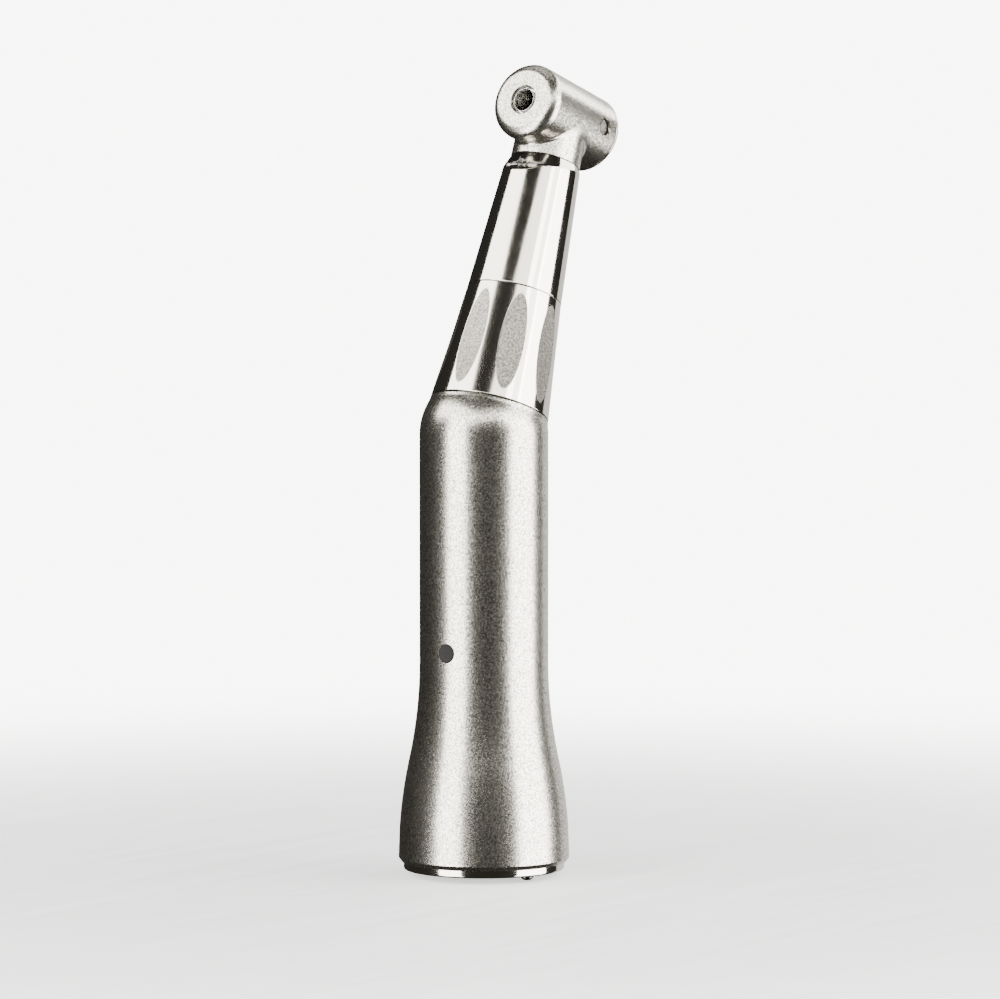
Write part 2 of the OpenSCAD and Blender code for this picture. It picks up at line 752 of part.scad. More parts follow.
rear_sheath();
ratio_dot();
rear_ring();
locating_pin();
coupling_sleeve();
snap_ring();
sleeve_o_ring();
drive_dog();
drive_shaft();
drive_gear();
bearing_cartridge();
rear_bearing_a_outer();
rear_bearing_a_balls();
rear_bearing_a_inner();
rear_bearing_b_outer();
rear_bearing_b_balls();
rear_bearing_b_inner();
rear_spacer();
rear_circlip();
water_tube();
air_tube();
union_nut();
neck_sleeve();
neck_o_ring();
spray_insert();
front_gear();
front_shaft();
head_pinion();
front_bearing_a_outer();
front_bearing_a_balls();
front_bearing_a_inner();
front_bearing_b_outer();
front_bearing_b_balls();
front_bearing_b_inner();
front_spacer();
head_housing();
spindle();
spindle_gear();
chuck_latch();
lower_bearing_outer();
lower_bearing_balls();
lower_bearing_inner();
upper_bearing_outer();
upper_bearing_balls();
upper_bearing_inner();
head_cap();
spring_seat();
button_spring();
push_button();
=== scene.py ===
"""Looks for a contra-angle dental handpiece: a flared, bead-blasted handle, a polished neck with
oval grips, and a push-button head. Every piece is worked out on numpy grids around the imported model."""
import json
import math

import bpy
import numpy as np
from bpy.props import FloatProperty, IntProperty, PointerProperty
from bpy.types import Operator, Panel, PropertyGroup
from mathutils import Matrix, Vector


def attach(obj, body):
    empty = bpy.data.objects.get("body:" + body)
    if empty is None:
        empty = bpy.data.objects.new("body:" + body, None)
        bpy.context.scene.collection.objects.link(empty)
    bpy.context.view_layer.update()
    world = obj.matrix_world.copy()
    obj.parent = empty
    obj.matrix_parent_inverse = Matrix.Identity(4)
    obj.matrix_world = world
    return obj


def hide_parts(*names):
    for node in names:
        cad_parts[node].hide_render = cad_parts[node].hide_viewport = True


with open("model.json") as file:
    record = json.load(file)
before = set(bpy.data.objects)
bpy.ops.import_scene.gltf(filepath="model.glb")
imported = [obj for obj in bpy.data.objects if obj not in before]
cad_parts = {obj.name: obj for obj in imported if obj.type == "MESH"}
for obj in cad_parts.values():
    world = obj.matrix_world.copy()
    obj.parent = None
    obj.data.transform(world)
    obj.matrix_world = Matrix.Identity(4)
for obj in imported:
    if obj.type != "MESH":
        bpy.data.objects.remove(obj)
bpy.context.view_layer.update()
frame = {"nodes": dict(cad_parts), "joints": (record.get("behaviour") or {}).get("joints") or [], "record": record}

bl_info = {
    "name": "Contra-angle handpiece",
    "version": (1, 0, 0),
    "blender": (4, 5, 0),
    "location": "View3D > Sidebar > Handpiece",
    "description": "Builds a bent dental handpiece with its polished neck and push-button head",
    "category": "Add Mesh",
}

MM = 0.001
JOINT = {joint["name"]: joint for joint in frame["joints"]}
BEHAVIOUR = frame["record"]["behaviour"]
BODY = {node: body for body, nodes in BEHAVIOUR["bodies"].items() for node in nodes}
SLOT = {part["node"]: part["material_slot"] for part in frame["record"]["subparts"]}
FINISH = {}  # the finish of each slot, filled by the first operator


# ---- places: an origin in metres and three directions ----

def place(origin, axis, side=(0.0, 1.0, 0.0)):
    """A frame whose Z is axis and whose Y is side; X is their cross product."""
    z = np.array(axis, float)
    z /= np.linalg.norm(z)
    y = np.array(side, float)
    return np.array(origin, float), np.cross(y, z), y, z


REAR = place((0, 0, 0), (0, 0, 1))
NECK = place(JOINT["neck_spin"]["pos_m"], JOINT["neck_spin"]["axis"])
HEAD = place(JOINT["spindle_spin"]["pos_m"], JOINT["spindle_spin"]["axis"])
BEND = math.atan2(NECK[3][0], NECK[3][2])  # angle from the rear axis to the neck
HEAD_S = float((HEAD[0] - NECK[0]) @ NECK[3]) / MM  # neck distance of the bur axis


def at(where, x, y, z):
    """Points x, y, z in millimetres along a frame's directions, as an array of points in metres."""
    x, y, z = np.broadcast_arrays(x, y, z)
    origin, ex, ey, ez = where
    return origin + MM * (x[..., None] * ex + y[..., None] * ey + z[..., None] * ez)


def around(where, radius, angle, height):
    """Points at a distance from a frame's Z and at an angle about it."""
    return at(where, radius * np.cos(angle), radius * np.sin(angle), height)


def reach(node, where):
    """Lowest and highest place along a frame's Z, and smallest and largest distance from it, of a
    CAD node's corners, in millimetres."""
    mesh = frame["nodes"][node].data
    points = np.empty(len(mesh.vertices) * 3)
    mesh.vertices.foreach_get("co", points)
    away = (points.reshape(-1, 3) - where[0]) / MM
    radius = np.hypot(away @ where[1], away @ where[2])
    height = away @ where[3]
    return height.min(), height.max(), radius.min(), radius.max()


# Places and radii that several pieces share, in millimetres
SEAM = 0.08  # width of a seam between two CAD pieces
INSERT_H = 1.75  # height of the spray insert
SMALL_SEAT_R = 3.175  # seat of a neck or head bearing
BARREL_BORE_R = 6.5  # bore through the handle
CAVITY_R = 5.75  # hollow at the bend
DOT_ABOVE_FLARE = 1.3  # the dot's height over the flare's end
WEAR_MM = 4.0  # pitch of the patches that handling leaves on steel
HOLE_U = 4.3  # the side hole's place along the bur axis
NUT_FRONT_S = reach("union_nut", NECK)[1] + 0.06  # the seam between nut and neck
NUT_FRONT_R = reach("neck_sleeve", NECK)[3]
NECK_TOP_S = reach("neck_sleeve", NECK)[1]
NECK_END_R = 4.45
HEAD_SEAM_U = reach("head_cap", HEAD)[1] - 0.59  # the head's end of the cap's seam


# ---- outlines and shells ----

def outline(corners, steps=6, support=0.03):
    """Corner points (distance, height) joined by straight lines. A third number rounds a corner: the
    arc's centre lies on the corner's bisector at radius / sin(half the corner's angle), and a point
    just outside each end of the arc keeps the surface beside it flat."""
    points = np.array([corner[:2] for corner in corners], float)
    rows = []
    for k, corner in enumerate(corners):
        if len(corner) < 3:
            rows.append(points[k][None])
            continue
        p, radius = points[k], corner[2]
        back, on = points[k - 1] - p, points[(k + 1) % len(points)] - p
        back, on = back / np.linalg.norm(back), on / np.linalg.norm(on)
        half = 0.5 * math.acos(float(np.clip(back @ on, -1, 1)))
        length = radius / math.tan(half)
        centre = p + (back + on) / np.linalg.norm(back + on) * radius / math.sin(half)
        start, end = (p + back * length - centre) / radius, (p + on * length - centre) / radius
        sweep = math.pi - 2 * half
        t = np.linspace(0, 1, steps + 1)[:, None]
        arc = centre + radius * (np.sin((1 - t) * sweep) * start + np.sin(t * sweep) * end) / math.sin(sweep)
        rows += [(p + back * (length + support))[None], arc, (p + on * (length + support))[None]]
    return np.vstack(rows)


def bow(x, y, radius, start, end, steps=12):
    """Points of an arc about (x, y) from one angle to another, in degrees."""
    t = np.radians(np.linspace(start, end, steps + 1))
    return np.stack([x + radius * np.cos(t), y + radius * np.sin(t)], 1)


def skin(grid, ends=None):
    """A closed shell: each row of the grid is a ring, and neighbours in a ring and in a column share
    faces. Without ends the last row joins the first; with ends, two points close the first and last
    ring. The signed volume, a sum of triple products, decides which way the faces turn."""
    n, m = grid.shape[:2]
    here = np.arange(n * m).reshape(n, m)
    side = np.roll(here, -1, 1)
    corners = grid.reshape(-1, 3)
    if ends is None:
        up, up_side = np.roll(here, -1, 0), np.roll(side, -1, 0)
        quads = np.stack([here, side, up_side, up], -1).reshape(-1, 4)
        fans = np.empty((0, 3), int)
    else:
        quads = np.stack([here[:-1], side[:-1], side[1:], here[1:]], -1).reshape(-1, 4)
        low, high = np.full(m, n * m), np.full(m, n * m + 1)
        fans = np.vstack([np.stack([low, side[0], here[0]], 1), np.stack([high, here[-1], side[-1]], 1)])
        corners = np.vstack([corners, np.reshape(ends, (2, 3))])
    parts = np.vstack([quads[:, [0, 1, 2]], quads[:, [0, 2, 3]], fans])
    a, b, c = (corners[parts[:, k]] - corners.mean(0) for k in range(3))
    if np.einsum("ij,ij->i", a, np.cross(b, c)).sum() < 0:
        quads, fans = quads[:, ::-1], fans[:, ::-1]
    return corners, quads, fans


def turned(profile, where, turns=96, shift=0.0):
    """A profile of (distance, height) rows carried round a frame's Z: x = r cos t, y = r sin t. A
    profile that starts and ends on the axis is closed there, and any other joins its own end."""
    rows = np.asarray(profile, float)
    t = np.linspace(0, 2 * math.pi, turns, endpoint=False)
    solid = rows[0, 0] < 1e-9 and rows[-1, 0] < 1e-9
    inner = rows[1:-1] if solid else rows
    grid = at(where, shift + inner[:, :1] * np.cos(t), inner[:, :1] * np.sin(t), inner[:, 1:2] + 0 * t)
    ends = at(where, np.full(2, shift), np.zeros(2), rows[[0, -1], 1]) if solid else None
    return skin(grid, ends)


def linked(name, data):
    """A new object in the scene that shows a mesh, a lamp or a camera."""
    thing = bpy.data.objects.new(name, data)
    bpy.context.scene.collection.objects.link(thing)
    return thing


def write_mesh(name, shells, sharp=32):
    """One mesh from several shells; edges bent more than the sharp angle stay crisp."""
    corners, faces, offset = [], [], 0
    for points, quads, fans in shells:
        corners.append(points)
        faces += (quads + offset).tolist() + (fans + offset).tolist()
        offset += len(points)
    mesh = bpy.data.meshes.new(name)
    mesh.from_pydata(np.vstack(corners), [], faces)
    mesh.validate()
    mesh.shade_smooth()
    mesh.set_sharp_from_angle(angle=math.radians(sharp))
    return linked(name, mesh)


def cut(thing, shells, sharp=32):
    """Takes closed shells away from a piece with an exact Boolean, and keeps the result as its mesh."""
    cutters = [write_mesh("cutter", [shell]) for shell in shells]
    for cutter in cutters:
        step = thing.modifiers.new("cut", "BOOLEAN")
        step.operation, step.solver, step.object = "DIFFERENCE", "EXACT", cutter
    bpy.context.view_layer.update()
    result = bpy.data.meshes.new_from_object(thing.evaluated_get(bpy.context.evaluated_depsgraph_get()))
    thing.modifiers.clear()
    old, thing.data = thing.data, result
    result.name = thing.name
    result.shade_smooth()
    result.set_sharp_from_angle(angle=math.radians(sharp))
    bpy.data.meshes.remove(old)
    for cutter in cutters:
        bpy.data.meshes.remove(cutter.data)
    return thing


def piece(thing, finish, *nodes):
    """Gives a piece its finish, sets it on its CAD node's body, and hides the nodes that it stands for."""
    thing.data.materials.clear()
    thing.data.materials.append(finish)
    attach(thing, BODY[nodes[0]])
    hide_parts(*nodes)
    return thing


def note(thing, name, values):
    """Stores one number for each corner of a piece, for its finish to read."""
    thing.data.attributes.new(name, "FLOAT", "POINT").data.foreach_set("value", np.ravel(values))


# ---- finishes ----

def linear(code):
    """An sRGB hex colour as linear light: a straight line near black, else a power of 2.4."""
    raw = np.array([int(code[k:k + 2], 16) for k in (0, 2, 4)]) / 255
    light = np.where(raw <= 0.04045, raw / 12.92, ((raw + 0.055) / 1.055) ** 2.4)
    return (*light.tolist(), 1.0)


def add(tree, kind, links=(), values=(), **settings):
    """Adds a node with its settings, its constant inputs and its links from other nodes' sockets."""
    made = tree.nodes.new(kind)
    for key, value in settings.items():
        setattr(made, key, value)
    for key, value in dict(values).items():
        made.inputs[key].default_value = value
    for key, socket in dict(links).items():
        tree.links.new(socket, made.inputs[key])
    return made


def blank(name):
    """A new material with an empty node tree, and the place of each point in the object's own space."""
    finish = bpy.data.materials.new(name)
    finish.use_nodes = True
    tree = finish.node_tree
    tree.nodes.clear()
    return finish, tree, add(tree, "ShaderNodeTexCoord").outputs["Object"]


def dimmed(tint, share):
    """A hex tint as linear light, with its three colours scaled by share."""
    return tuple(c * share for c in linear(tint)[:3]) + (1.0,)


def noise(tree, spot, pitch, detail, rough=0.5):
    """Noise between 0 and 1 with a pitch in millimetres."""
    return add(tree, "ShaderNodeTexNoise", {"Vector": spot},
               {"Scale": 1 / pitch / MM, "Detail": detail, "Roughness": rough}).outputs["Fac"]


def remap(tree, value, start=(0, 1), end=(0, 1)):
    """A value carried along a straight line from one range to another, and held at both ends."""
    return add(tree, "ShaderNodeMapRange", {"Value": value},
               {"From Min": start[0], "From Max": start[1], "To Min": end[0], "To Max": end[1]}).outputs[0]


def blend(tree, factor, low, high):
    """A colour between low and high."""
    return add(tree, "ShaderNodeMix", {"Factor": factor}, {6: low, 7: high}, data_type="RGBA").outputs[2]


def scaled(tree, colour, share):
    """A colour times a number."""
    return add(tree, "ShaderNodeVectorMath", {0: colour, "Scale": share}, operation="SCALE").outputs[0]


def shaded(finish, colour, rough, height, grain, **values):
    """Ends a material with its shader; grain is the relief of the height noise, in micrometres."""
    tree = finish.node_tree
    bump = add(tree, "ShaderNodeBump", {"Height": height}, {"Strength": 1.0, "Distance": grain * 1e-6})
    shader = add(tree, "ShaderNodeBsdfPrincipled",
                 {"Base Color": colour, "Roughness": rough, "Normal": bump.outputs[0]}, values)
    add(tree, "ShaderNodeOutputMaterial", {"Surface": shader.outputs[0]})
    return finish


def metal(name, tint, rough, spread, grain, grain_mm, mottle=0.06, lay=None, dent_shade_and_glint=0.04, painted_hole_shade=None):
    """A bare metal. Its roughness wanders by spread over a few millimetres, as handled steel does, and
    its tint by mottle. Grain is the height in micrometres of a blasted or ground texture of grain_mm
    pitch; lay stretches it into lines along or across the piece. The speckle, painted shade and
    painted glints on that grain, darkens its dents and lightens its peaks. Inside a ball given by
    (centre, radius, shade), the tint is darker by shade: painted shade on the floor of a hollow."""
    finish, tree, spot = blank(name)
    cloud = noise(tree, spot, WEAR_MM, 3.0)
    lines = spot if lay is None else add(tree, "ShaderNodeMapping", {"Vector": spot}, {"Scale": lay}).outputs[0]
    fine = noise(tree, lines, grain_mm, 2.0, 0.6)
    # Painted shade and painted glints: the speckle darkens the grain's dents and lightens its peaks
    colour = scaled(tree, blend(tree, cloud, dimmed(tint, 1 - mottle), linear(tint)),
                    remap(tree, fine, (0.34, 0.66), (1 - 0.7 * dent_shade_and_glint, 1 + 0.4 * dent_shade_and_glint)))
    # Painted shade: inside the ball the tint darkens, on the floor of a hollow that light hardly reaches
    if painted_hole_shade is not None:
        centre, radius, shade = painted_hole_shade
        away = add(tree, "ShaderNodeVectorMath", {0: spot}, {1: centre}, operation="DISTANCE").outputs["Value"]
        colour = scaled(tree, colour, remap(tree, away, (0.96 * radius, radius), (1 - shade, 1)))
    wander = remap(tree, cloud, (0.3, 0.7), (rough - spread, rough + spread))
    return shaded(finish, colour, wander, fine, grain, Metallic=1.0)


def coat(name, tint, rough, grain, grain_mm, ior):
    """A non-metal: enamel or rubber, with a faint mottle and a moulded or brushed-on texture."""
    finish, tree, spot = blank(name)
    fine = noise(tree, spot, grain_mm, 3.0)
    wander = remap(tree, fine, end=(rough - 0.06, rough + 0.06))
    return shaded(finish, blend(tree, fine, dimmed(tint, 0.85), linear(tint)), wander, fine, grain, IOR=ior)


def nut_steel(name, tint, bright, matte, grain, grain_mm):
    """Polished stainless steel whose oval grips were masked out and bead-blasted: the piece's own
    'blasted' number picks between the mirror and the matte roughness, and lets the grain through."""
    finish, tree, spot = blank(name)
    mask = add(tree, "ShaderNodeAttribute", attribute_name="blasted").outputs["Fac"]
    edge = remap(tree, mask, (0.35, 0.65))
    fine = noise(tree, spot, grain_mm, 2.0)
    height = add(tree, "ShaderNodeMath", {0: fine, 1: edge}, operation="MULTIPLY").outputs[0]
    # Painted shade and painted glints on the blasted grips: the grain's dents darken and its peaks lighten
    dent_shade_and_glint = remap(tree, fine, (0.36, 0.64), (0.45, 1.3))
    grip_dent_shade_and_glint = add(tree, "ShaderNodeMapRange", {"Value": edge, "To Max": dent_shade_and_glint}, {"To Min": 1.0}).outputs[0]
    colour = scaled(tree, blend(tree, edge, linear(tint), dimmed(tint, 0.4)), grip_dent_shade_and_glint)
    return shaded(finish, colour, remap(tree, edge, end=(bright, matte)), height, grain, Metallic=1.0)


def stage_paint(name, tint, fade_from, fade_to):
    """Pale sheet under the object, glowing a little so that it stays bright. It clears with the
    distance from the middle, so that its far edge melts into the backdrop, and its streaks are noise
    stretched along one direction."""
    finish, tree, spot = blank(name)
    lines = add(tree, "ShaderNodeMapping", {"Vector": spot},
                {"Rotation": (0, 0, math.radians(54.5)), "Scale": (25, 420, 1)}).outputs[0]
    streak = noise(tree, lines, 1 / MM, 4.0)
    colour = blend(tree, streak, dimmed(tint, 0.72), linear(tint))
    shader = add(tree, "ShaderNodeBsdfPrincipled", {"Base Color": colour, "Emission Color": colour},
                 {"Roughness": 0.55, "Emission Strength": 1.6})
    far = add(tree, "ShaderNodeVectorMath", {0: spot}, operation="LENGTH")
    fade = add(tree, "ShaderNodeMapRange", {"Value": far.outputs["Value"]},
               {"From Min": fade_from, "From Max": fade_to}, interpolation_type="SMOOTHSTEP")
    clear = add(tree, "ShaderNodeBsdfTransparent")
    mix = add(tree, "ShaderNodeMixShader", {"Fac": fade.outputs[0], 1: shader.outputs[0], 2: clear.outputs[0]})
    add(tree, "ShaderNodeOutputMaterial", {"Surface": mix.outputs[0]})
    return finish


# ---- settings ----

class HandpieceSettings(PropertyGroup):
    """Sizes, finishes and lights that can be changed before the operators run."""
    # Hole shade is painted shade: how far the tint darkens on the floor of the head's blind side hole
    hole_shade: FloatProperty(name="Hole shade", description="Darkening of the residue in the head's blind hole",
                              default=0.9, subtype="FACTOR")
    barrel_radius: FloatProperty(name="Barrel radius", description="Radius of the straight handle",
                                 default=0.00753, unit="LENGTH")
    flare_end: FloatProperty(name="Flare end", description="Height where the flare meets the barrel",
                             default=0.0245, unit="LENGTH")
    rim_round: FloatProperty(name="Edge rounding", description="Radius of the broken outer edges",
                             default=0.00012, unit="LENGTH")
    grip_count: IntProperty(name="Grips", description="Oval grips around the union nut", default=8)
    grip_half_width: FloatProperty(name="Grip half width", description="Half the width of an oval grip",
                                   default=0.0015, unit="LENGTH")
    grip_half_length: FloatProperty(name="Grip half length", description="Half the length of an oval grip",
                                    default=0.006, unit="LENGTH")
    collar_radius: FloatProperty(name="Collar radius", description="Radius of the head's collar",
                                 default=0.00414, unit="LENGTH")
    satin_rough: FloatProperty(name="Satin roughness", description="Roughness of the blasted steel",
                               default=0.25, subtype="FACTOR")
    mirror_rough: FloatProperty(name="Mirror roughness", description="Roughness of the polished steel",
                                default=0.09, subtype="FACTOR")
    grain_pitch: FloatProperty(name="Blast grain",
                               description="Pitch of the blasted grain, coarser than real grit so that it shows",
                               default=0.00021, unit="LENGTH")
    left_light: FloatProperty(name="Left softbox", description="Glow of the left softbox", default=12.0)
    right_light: FloatProperty(name="Right softbox", description="Glow of the right softbox", default=14.0)
    upper_light: FloatProperty(name="Upper softboxes", description="Glow of the two upper side softboxes",
                               default=8.5)
    front_light: FloatProperty(name="Softbox over the camera", description="Glow of the panel over the camera",
                               default=5.5)
    back_light: FloatProperty(name="Back fill", description="Glow of the panel behind on the right", default=1.3)
    top_light: FloatProperty(name="Overhead", description="Glow of the overhead panel", default=1.0)


def settings():
    """The scene's handpiece settings."""
    return bpy.context.scene.handpiece


# ---- operators ----

class HANDPIECE_OT_finishes(Operator):
    """Mix the finishes: steels by how they were made, enamel, blackened steel and rubber."""
    bl_idname = "handpiece.finishes"
    bl_label = "Finishes"

    def execute(self, context):
        s = settings()
        pitch = s.grain_pitch / MM
        # Bead-blasted stainless steel: small dents scatter each reflection into a soft, grainy band
        FINISH["satin_steel"] = metal("blasted_stainless", "C4BFB3", s.satin_rough, 0.004, 8.0, pitch,
                                      dent_shade_and_glint=1.0)
        # The same blasted steel on the head, with painted shade on the floor of its blind side hole, where the
        # hole's walls shade it
        painted_hole_shade = (tuple(at(HEAD, 0.0, 0.0, HOLE_U) + [0, -3.4 * MM, 0]), 1.3 * MM, s.hole_shade)
        FINISH["head_steel"] = metal("blasted_head", "C4BFB3", s.satin_rough, 0.004, 8.0, pitch,
                                     dent_shade_and_glint=1.0, painted_hole_shade=painted_hole_shade)
        # Polished stainless steel: a mirror with only faint hand marks
        FINISH["polished_steel"] = metal("polished_stainless", "D0CABD", s.mirror_rough, 0.02, 0.12, 0.9,
                                         mottle=0.03)
        FINISH["grip_steel"] = nut_steel("polished_nut_with_blasted_grips", "D0CABD", s.mirror_rough, 0.34,
                                         12.0, pitch)
        # Fine satin steel of the button, turned and lightly blasted
        FINISH["button_steel"] = metal("satin_button", "C6C2BA", 0.26, 0.03, 16.0, 0.15, dent_shade_and_glint=0.2)
        # Turned stainless steel: close rings from the tool, drawn as noise squeezed along the axis
        FINISH["sleeve_steel"] = metal("turned_stainless", "B5B3AE", 0.24, 0.05, 1.2, 0.5, lay=(0.1, 0.1, 5.0))
        # Tempered spring steel: grey-blue scale, half matte
        FINISH["spring_steel"] = metal("tempered_spring_steel", "8C8E92", 0.34, 0.05, 1.0, 0.1)
        # Ground shaft steel and the finer ground races
        FINISH["shaft_steel"] = metal("ground_shaft_steel", "A9A9A6", 0.2, 0.05, 0.8, 0.3, lay=(4.0, 4.0, 0.4))
        FINISH["spindle_steel"] = metal("ground_spindle_steel", "BDBCB8", 0.14, 0.04, 0.5, 0.2)
        FINISH["race_steel"] = metal("ground_bearing_steel", "C2C2C0", 0.1, 0.03, 0.3, 0.2)
        FINISH["ball_cage"] = metal("machined_cage_and_balls", "B4AA90", 0.2, 0.05, 0.6, 0.15)
        # Hardened gear steel with a straw-coloured nitride coating
        FINISH["gear_steel"] = metal("coated_gear_steel", "B59B5E", 0.3, 0.05, 0.9, 0.12, mottle=0.14)
        FINISH["tube_steel"] = metal("drawn_tube_steel", "A6A6A3", 0.28, 0.05, 0.8, 0.2)
        FINISH["spray_steel"] = metal("polished_spray_steel", "A8A6A1", 0.1, 0.03, 0.2, 0.4)
        # Blackened steel: a thin oxide, dark and half glossy
        FINISH["dark_pin"] = metal("blackened_steel", "4A4844", 0.3, 0.06, 1.2, 0.12, mottle=0.25)
        # Stoved enamel in a recess, brushed on, so it is slightly uneven
        FINISH["dot_enamel"] = coat("grey_enamel", "1A1918", 0.55, 6.0, 0.35, 1.25)
        # Nitrile rubber with a moulded, slightly dusty skin
        FINISH["seal_rubber"] = coat("nitrile_rubber", "1B1B1C", 0.62, 4.0, 0.2, 1.52)
        return {"FINISHED"}


def bend_rows(steps, lead):
    """Centres and tilts along the bend: a quadratic curve from lead below the crossing point to lead
    beyond it, whose tangent turns from the rear axis to the neck axis."""
    t = np.linspace(0, 1, steps)[:, None]
    corner, start, end = NECK[0] / MM, NECK[0] / MM - [0, 0, lead], NECK[0] / MM + lead * NECK[3]
    centres = (1 - t) ** 2 * start + 2 * t * (1 - t) * corner + t ** 2 * end
    way = (1 - t) * (corner - start) + t * (end - corner)
    return centres, np.arctan2(way[:, 0], way[:, 2]), t[:, 0]


def spokes(tilts, angle):
    """Directions from each ring's centre to its points: X leans with the tilt, and Y stays."""
    out_way = np.stack([np.cos(tilts), 0 * tilts, -np.sin(tilts)], 1)
    turn = angle[None, :, None]
    return np.cos(turn) * out_way[:, None] + np.sin(turn) * np.array([0, 1.0, 0])


def sheath_radius(centres, tilts, angle, barrel, neck_r, neck_s):
    """Distance from each ring's centre to the skin: halving steps find where the ray leaves the union
    of the barrel, the ball at the crossing point and the short cone of the neck side."""
    rays = spokes(tilts, angle)
    low, high = np.full(rays.shape[:2], 4.0), np.full(rays.shape[:2], 12.0)
    corner = NECK[0] / MM
    for _ in range(26):
        middle = (low + high) / 2
        away = centres[:, None] + middle[..., None] * rays - corner
        s = away @ NECK[3]
        wide = np.hypot(away @ NECK[1], away[..., 1])
        inside = ((away[..., 2] <= 0) & (np.hypot(away[..., 0], away[..., 1]) <= barrel)
                  | (np.linalg.norm(away, axis=-1) <= barrel)
                  | (s >= 0) & (wide <= barrel + (neck_r - barrel) * s / neck_s))
        low, high = np.where(inside, middle, low), np.where(inside, high, middle)
    return low


class HANDPIECE_OT_handle(Operator):
    """Build the blasted sheath with its flared foot, the enamel dot, the polished lip and the pin."""
    bl_idname = "handpiece.handle"
    bl_label = "Handle"

    def execute(self, context):
        s = settings()
        barrel, rim = s.barrel_radius / MM, s.rim_round / MM
        foot_z, _, _, foot = reach("rear_sheath", REAR)
        lip_r = reach("rear_ring", REAR)[3]
        nut_s, _, _, nut_r = reach("union_nut", NECK)
        end_s, seam_r = nut_s - 0.12, nut_r
        spigot_end = reach("rear_sheath", NECK)[1]
        angle = np.linspace(0, 2 * math.pi, 192, endpoint=False)

        # Foot and flare: a rounded chamfer, then two equal arcs that meet half-way up
        flare_z = foot_z + 0.5
        dz, dr = (s.flare_end / MM - flare_z) / 2, (foot - barrel) / 2
        big = (dz * dz + dr * dr) / (2 * dr)
        sweep = math.degrees(math.asin(dz / big))
        lower = bow(foot - big, flare_z, big, 0, sweep, 16)
        upper = bow(barrel + big, s.flare_end / MM, big, 180 + sweep, 180, 16)
        base = outline([(8.6, foot_z + 1), (8.6, foot_z, rim / 2), (foot - 0.4, foot_z, rim),
                        (foot, flare_z, 2 * rim), lower[4]], 4)[1:-1]
        dot_rows = np.arange(s.flare_end / MM + 0.1, s.flare_end / MM + 3.4, 0.2)
        straight = np.stack([np.full(len(dot_rows), barrel), dot_rows], 1)
        lead = end_s - rim
        top_z = NECK[0][2] / MM - lead
        rear = np.vstack([base, lower[5:], upper[1:], straight,
                          [[barrel, z] for z in (32, 38, 44, top_z - 0.4)]])

        # The bend, its crease on the inner side eased along the path
        centres, tilts, t = bend_rows(61, lead)
        round_r = sheath_radius(centres, tilts, angle, barrel - 0.005, seam_r, end_s)
        kernel = np.exp(-0.5 * (np.arange(-6, 7) / 2.6) ** 2)
        padded = np.pad(round_r, ((6, 6), (0, 0)), mode="edge")
        eased = sum(k * padded[i:i + len(round_r)] for i, k in enumerate(kernel / kernel.sum()))
        ease = np.clip(np.cos(angle), 0, 1) * np.sin(math.pi * t)[:, None] ** 0.5
        round_r = round_r + (eased - round_r) * ease
        edge_r = float(round_r[-1].mean())

        neck_end = outline([(edge_r, end_s - 1), (edge_r, end_s, rim), (5.6, end_s), (5.6, spigot_end, 0.25),
                            (4.6, spigot_end, 0.15), (4.6, end_s + 0.45), (4.6, end_s - 1)], 4)[3:-1]
        inside_t = t[::-6]
        inner_r = np.where(inside_t > 0.5,
                           np.sqrt(CAVITY_R ** 2 - (end_s * np.clip(2 * inside_t - 1, 0, 1)) ** 2), CAVITY_R)
        bore = np.array([[CAVITY_R, 47.9], [BARREL_BORE_R, 47.9], [BARREL_BORE_R, 5.0], [8.6, 5.0],
                         [8.6, foot_z + 0.5]])

        def straight_rows(rows):
            """Centres, tilts and radii of rings along the rear axis."""
            flat = 0 * rows[:, 1]
            return np.stack([flat, flat, rows[:, 1]], 1), flat, rows[:, :1] + 0 * angle

        def neck_rows(rows):
            """Centres, tilts and radii of rings along the neck axis."""
            return NECK[0] / MM + rows[:, 1:] * NECK[3], np.full(len(rows), BEND), rows[:, :1] + 0 * angle

        blocks = [straight_rows(rear), (centres, tilts, round_r), neck_rows(neck_end),
                  (centres[::-6], tilts[::-6], inner_r[:, None] + 0 * angle), straight_rows(bore)]
        middle, tilt, radius = (np.concatenate([block[k] for block in blocks]) for k in range(3))
        grid = middle[:, None] + radius[..., None] * spokes(tilt, angle)
        sheath = write_mesh("rear_sheath_shell", [skin(grid * MM)])

        dot_z = s.flare_end / MM + DOT_ABOVE_FLARE
        dot = place((0, 0, dot_z * MM), (-1, 0, 0))
        recess = [(0, 8.2), (1.35, 8.2), (1.12, 7.5), (1.1, 7.42), (1.1, 7.18), (0, 7.18)]
        cut(sheath, [turned(recess, dot, 48)])
        piece(sheath, FINISH["satin_steel"], "rear_sheath")

        # The enamel stands in a shallow meniscus: highest at its wetted edge
        fill = np.linspace(0, 1, 9)
        disc = np.vstack([np.stack([1.08 * fill, 7.36 + 0.05 * fill ** 4], 1), [[1.08, 7.18], [0, 7.18]]])
        enamel = write_mesh("ratio_dot_enamel", [turned(disc, dot, 48)])
        piece(enamel, FINISH["dot_enamel"], "ratio_dot")

